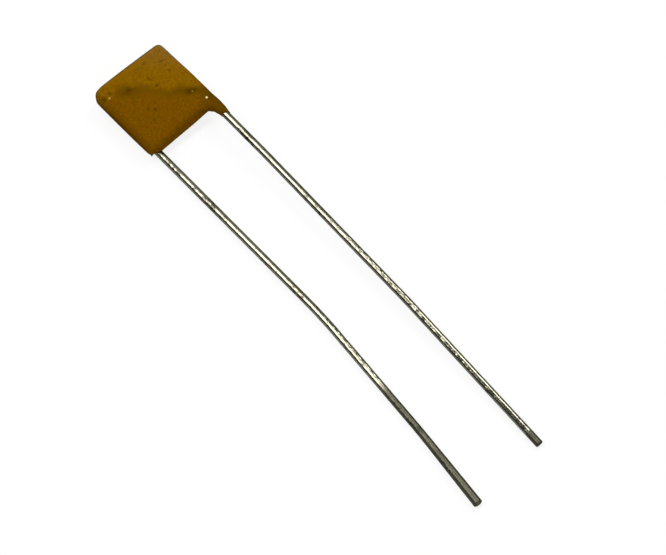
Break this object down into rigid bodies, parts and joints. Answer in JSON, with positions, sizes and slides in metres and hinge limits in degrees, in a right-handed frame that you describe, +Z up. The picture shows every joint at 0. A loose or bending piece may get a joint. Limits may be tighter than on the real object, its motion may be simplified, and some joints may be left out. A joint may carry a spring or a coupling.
{
  "type": "ceramic plate capacitor",
  "caption": "Ceramic plate capacitor: a small square plate in a glossy ochre dipped coat, with long straight wire leads for through-hole mounting.",
  "frame": {"origin": "on the surface that the part lies on, under the middle of its bounding box", "axes": "+Z up out of the front face, +Y from the lead tips towards the body, +X towards the lead on the front face"},
  "size_m": [0.0074, 0.04, 0.0019],
  "materials": {
    "dip_coat": "gloss",
    "tinned_wire": "satin",
    "solder": "satin",
    "fired_silver": "matte",
    "fired_ceramic": "matte"
  },
  "bodies": {
    "root": {"dipped_coat": "dip_coat", "front_lead": "tinned_wire", "rear_lead": "tinned_wire", "front_solder": "solder", "rear_solder": "solder", "front_silver_film": "fired_silver", "rear_silver_film": "fired_silver", "ceramic_plate": "fired_ceramic"}
  },
  "joints": []
}
